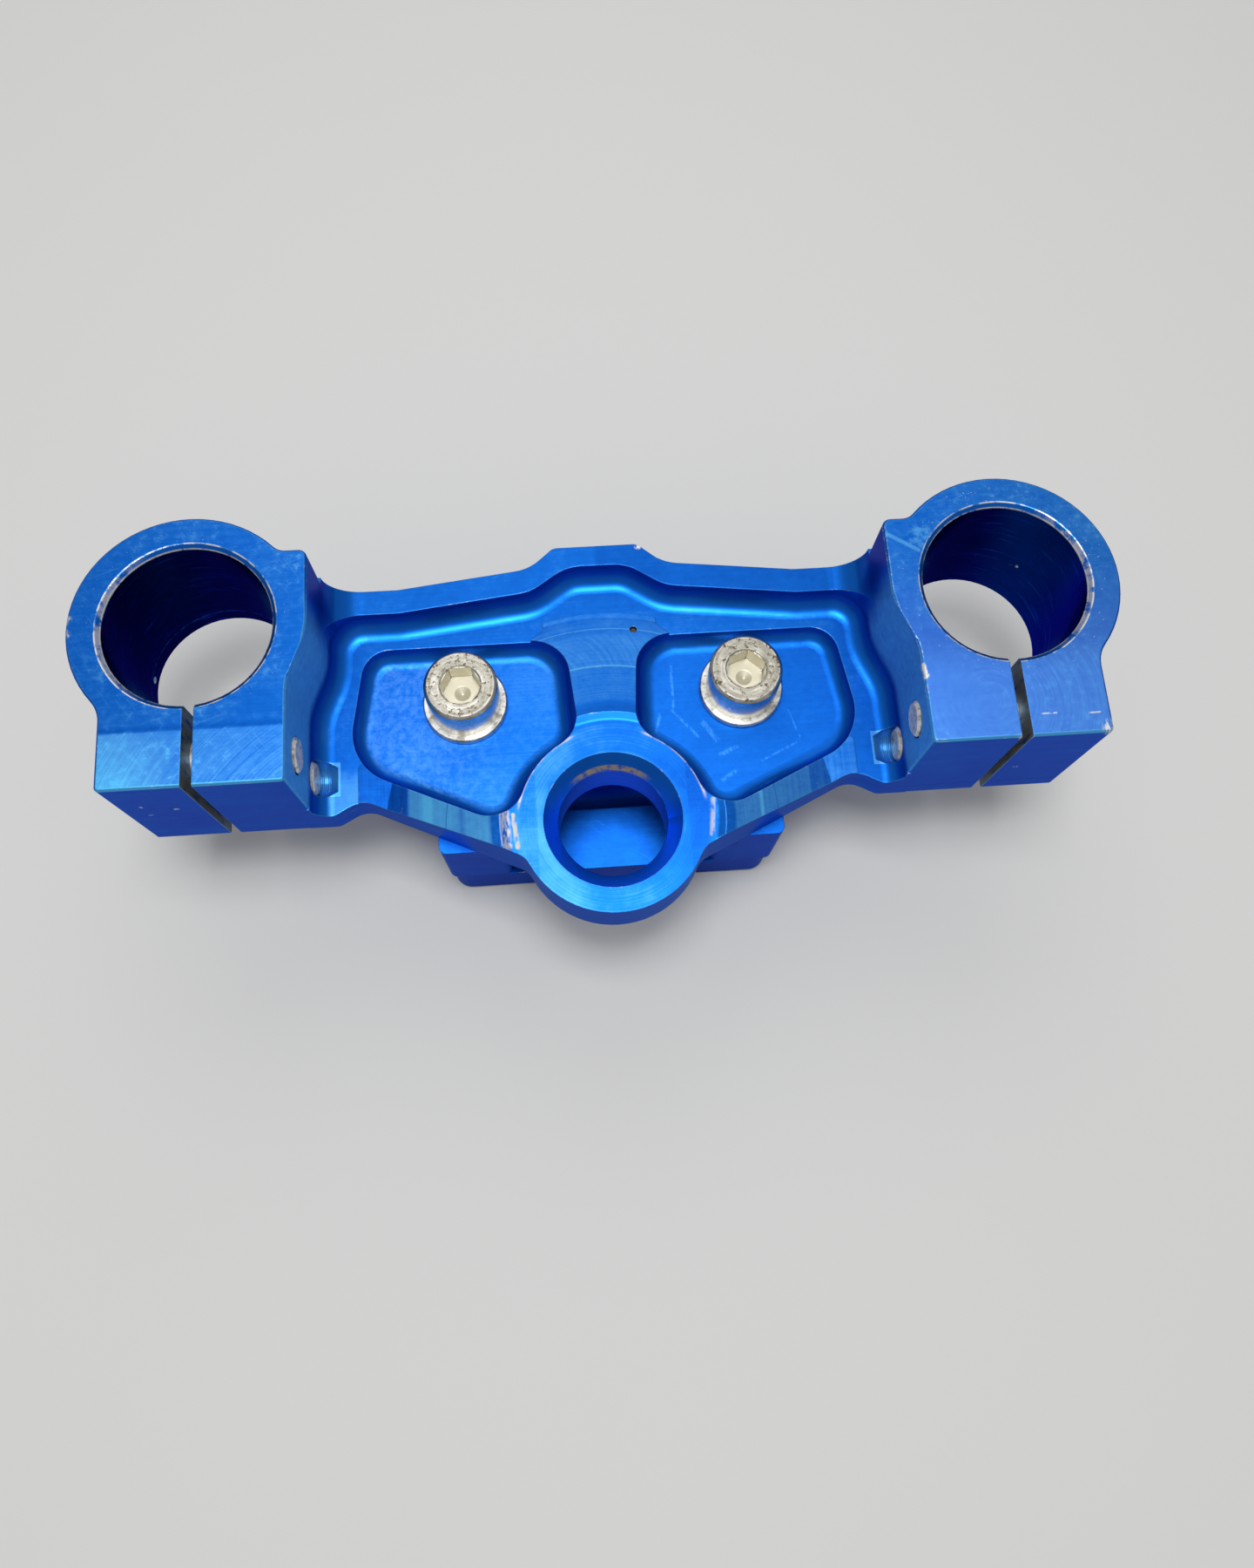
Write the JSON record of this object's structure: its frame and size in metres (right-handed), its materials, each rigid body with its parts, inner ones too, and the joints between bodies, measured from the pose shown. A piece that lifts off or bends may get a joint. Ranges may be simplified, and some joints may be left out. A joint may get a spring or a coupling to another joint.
{
  "type": "motorcycle triple clamp",
  "caption": "Upper fork yoke lying underside up: a milled web with a stem bore joins two split fork tube clamps, and bolted risers with a cap grip the handlebar.",
  "frame": {"origin": "steering stem axis at the yoke's flat face, where the bar risers are bolted on", "axes": "+X across the yoke from fork to fork, +Y from the stem towards the line of the forks, +Z along the stem, up as the part lies underside up"},
  "size_m": [0.2568, 0.1002, 0.0865],
  "materials": {
    "anodised_aluminium": "blue anodised, satin, worn",
    "aged_steel": "plated steel, dulled and dirty",
    "bright_steel": "plated steel"
  },
  "bodies": {
    "root": {"clamp_body": "anodised_aluminium", "bar_clamp_cap": "anodised_aluminium", "left_bar_riser": "anodised_aluminium", "right_bar_riser": "anodised_aluminium", "left_riser_bolt": "aged_steel", "left_riser_washer": "aged_steel", "left_upper_pinch_bolt": "bright_steel", "left_lower_pinch_bolt": "bright_steel", "left_front_cap_screw": "bright_steel", "left_rear_cap_screw": "bright_steel", "right_riser_bolt": "aged_steel", "right_riser_washer": "aged_steel", "right_upper_pinch_bolt": "bright_steel", "right_lower_pinch_bolt": "bright_steel", "right_front_cap_screw": "bright_steel", "right_rear_cap_screw": "bright_steel"}
  },
  "joints": []
}
